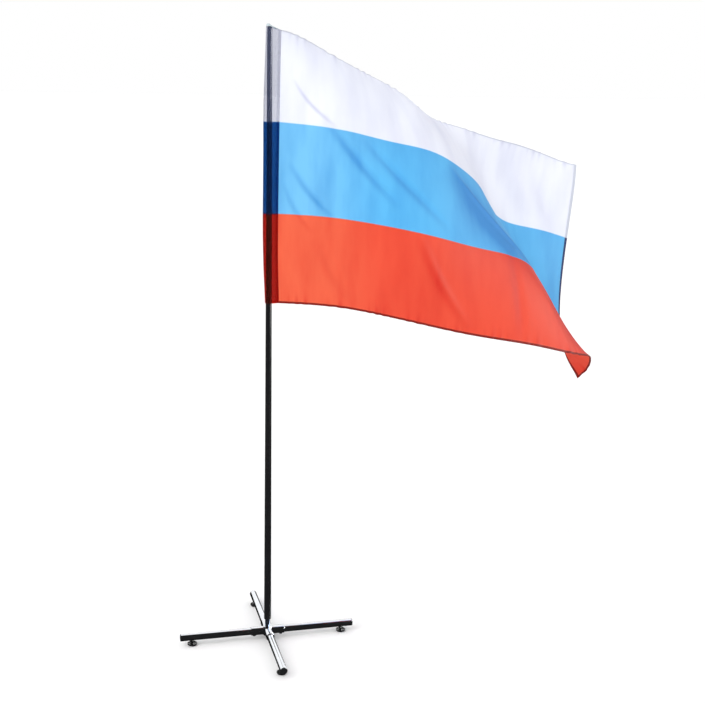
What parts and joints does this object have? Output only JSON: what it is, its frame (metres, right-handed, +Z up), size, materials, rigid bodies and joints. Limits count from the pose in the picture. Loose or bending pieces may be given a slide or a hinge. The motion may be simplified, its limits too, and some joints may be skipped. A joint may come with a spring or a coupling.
{
  "type": "free-standing pole flag",
  "caption": "Rectangular striped flag in a sleeve on a tapered pole, which turns on a spindle in a cross stand of chrome tubes with screw feet",
  "frame": {"origin": "on the floor, on the pole's axis, between the four feet", "axes": "+Z up along the pole; the legs lie along +X, +Y, -X and -Y; the flag leaves the pole towards +X, turned 14.3 degrees towards -Y"},
  "size_m": [1.5503, 0.7104, 2.1353],
  "materials": {
    "chrome": "polished",
    "zinc_steel": "satin",
    "black_plastic": "satin",
    "black_gloss": "gloss",
    "nylon": "satin",
    "rubber": "matte",
    "sleeve_cloth": "matte",
    "flag_cloth": "matte"
  },
  "bodies": {
    "hub": {"cross_hub": "chrome", "grub_screw_right": "zinc_steel", "grub_screw_back": "zinc_steel", "grub_screw_left": "zinc_steel", "grub_screw_front": "zinc_steel", "lower_bearing": "zinc_steel", "upper_bearing": "zinc_steel", "bearing_circlip": "zinc_steel"},
    "spindle": {"spindle": "chrome", "spigot_ring_lower": "rubber", "spigot_ring_upper": "rubber", "spindle_washer": "zinc_steel", "spindle_bolt": "zinc_steel"},
    "pole": {"pole": "black_gloss", "pole_foot_bush": "black_plastic", "pole_seat_plug": "nylon", "pole_tip_plug": "black_plastic"},
    "sleeve": {"flag_sleeve": "sleeve_cloth", "sleeve_top_patch": "sleeve_cloth"},
    "cloth": {"flag_cloth": "flag_cloth"},
    "leg_right": {"leg_tube_right": "chrome", "leg_end_cap_right": "black_plastic", "foot_insert_right": "zinc_steel"},
    "foot_stem_right": {"foot_stem_right": "zinc_steel"},
    "foot_disc_right": {"foot_disc_right": "black_plastic"},
    "leg_back": {"leg_tube_back": "chrome", "leg_end_cap_back": "black_plastic", "foot_insert_back": "zinc_steel"},
    "foot_stem_back": {"foot_stem_back": "zinc_steel"},
    "foot_disc_back": {"foot_disc_back": "black_plastic"},
    "leg_left": {"leg_tube_left": "chrome", "leg_end_cap_left": "black_plastic", "foot_insert_left": "zinc_steel"},
    "foot_stem_left": {"foot_stem_left": "zinc_steel"},
    "foot_disc_left": {"foot_disc_left": "black_plastic"},
    "leg_front": {"leg_tube_front": "chrome", "leg_end_cap_front": "black_plastic", "foot_insert_front": "zinc_steel"},
    "foot_stem_front": {"foot_stem_front": "zinc_steel"},
    "foot_disc_front": {"foot_disc_front": "black_plastic"}
  },
  "joints": [
    {"name": "spindle_turn", "type": "hinge", "parent": "hub", "child": "spindle", "pos_m": [0, 0, 0.0481], "axis": [0, 0, 1], "continuous": true},
    {"name": "pole_lift", "type": "slide", "parent": "spindle", "child": "pole", "axis": [0, 0, 1], "range_m": [0, 0.125]},
    {"name": "flag_lift", "type": "slide", "parent": "pole", "child": "sleeve", "axis": [0, 0, 1], "range_m": [0, 0.91]},
    {"name": "flag_swing", "type": "hinge", "parent": "sleeve", "child": "cloth", "pos_m": [0.03295, -0.0084, 1.677], "axis": [0, 0, 1], "range_deg": [-50, 50]},
    {"name": "leg_right_pull", "type": "slide", "parent": "hub", "child": "leg_right", "axis": [1, 0, 0], "range_m": [0, 0.045]},
    {"name": "foot_right_travel", "type": "slide", "parent": "leg_right", "child": "foot_stem_right", "axis": [0, 0, -1], "range_m": [0, 0.01]},
    {"name": "foot_right_turn", "type": "hinge", "parent": "foot_stem_right", "child": "foot_disc_right", "pos_m": [0.27, 0, 0.005], "axis": [0, 0, -1], "range_deg": [0, 2880]},
    {"name": "leg_back_pull", "type": "slide", "parent": "hub", "child": "leg_back", "axis": [0, 1, 0], "range_m": [0, 0.045]},
    {"name": "foot_back_travel", "type": "slide", "parent": "leg_back", "child": "foot_stem_back", "axis": [0, 0, -1], "range_m": [0, 0.01]},
    {"name": "foot_back_turn", "type": "hinge", "parent": "foot_stem_back", "child": "foot_disc_back", "pos_m": [0, 0.27, 0.005], "axis": [0, 0, -1], "range_deg": [0, 2880]},
    {"name": "leg_left_pull", "type": "slide", "parent": "hub", "child": "leg_left", "axis": [-1, 0, 0], "range_m": [0, 0.045]},
    {"name": "foot_left_travel", "type": "slide", "parent": "leg_left", "child": "foot_stem_left", "axis": [0, 0, -1], "range_m": [0, 0.01]},
    {"name": "foot_left_turn", "type": "hinge", "parent": "foot_stem_left", "child": "foot_disc_left", "pos_m": [-0.27, 0, 0.005], "axis": [0, 0, -1], "range_deg": [0, 2880]},
    {"name": "leg_front_pull", "type": "slide", "parent": "hub", "child": "leg_front", "axis": [0, -1, 0], "range_m": [0, 0.045]},
    {"name": "foot_front_travel", "type": "slide", "parent": "leg_front", "child": "foot_stem_front", "axis": [0, 0, -1], "range_m": [0, 0.01]},
    {"name": "foot_front_turn", "type": "hinge", "parent": "foot_stem_front", "child": "foot_disc_front", "pos_m": [0, -0.27, 0.005], "axis": [0, 0, -1], "range_deg": [0, 2880]}
  ],
  "couplings": [
    {"joint": "foot_right_travel", "follows": "foot_right_turn", "m_per_rad": 0.00019894},
    {"joint": "foot_back_travel", "follows": "foot_back_turn", "m_per_rad": 0.00019894},
    {"joint": "foot_left_travel", "follows": "foot_left_turn", "m_per_rad": 0.00019894},
    {"joint": "foot_front_travel", "follows": "foot_front_turn", "m_per_rad": 0.00019894}
  ]
}
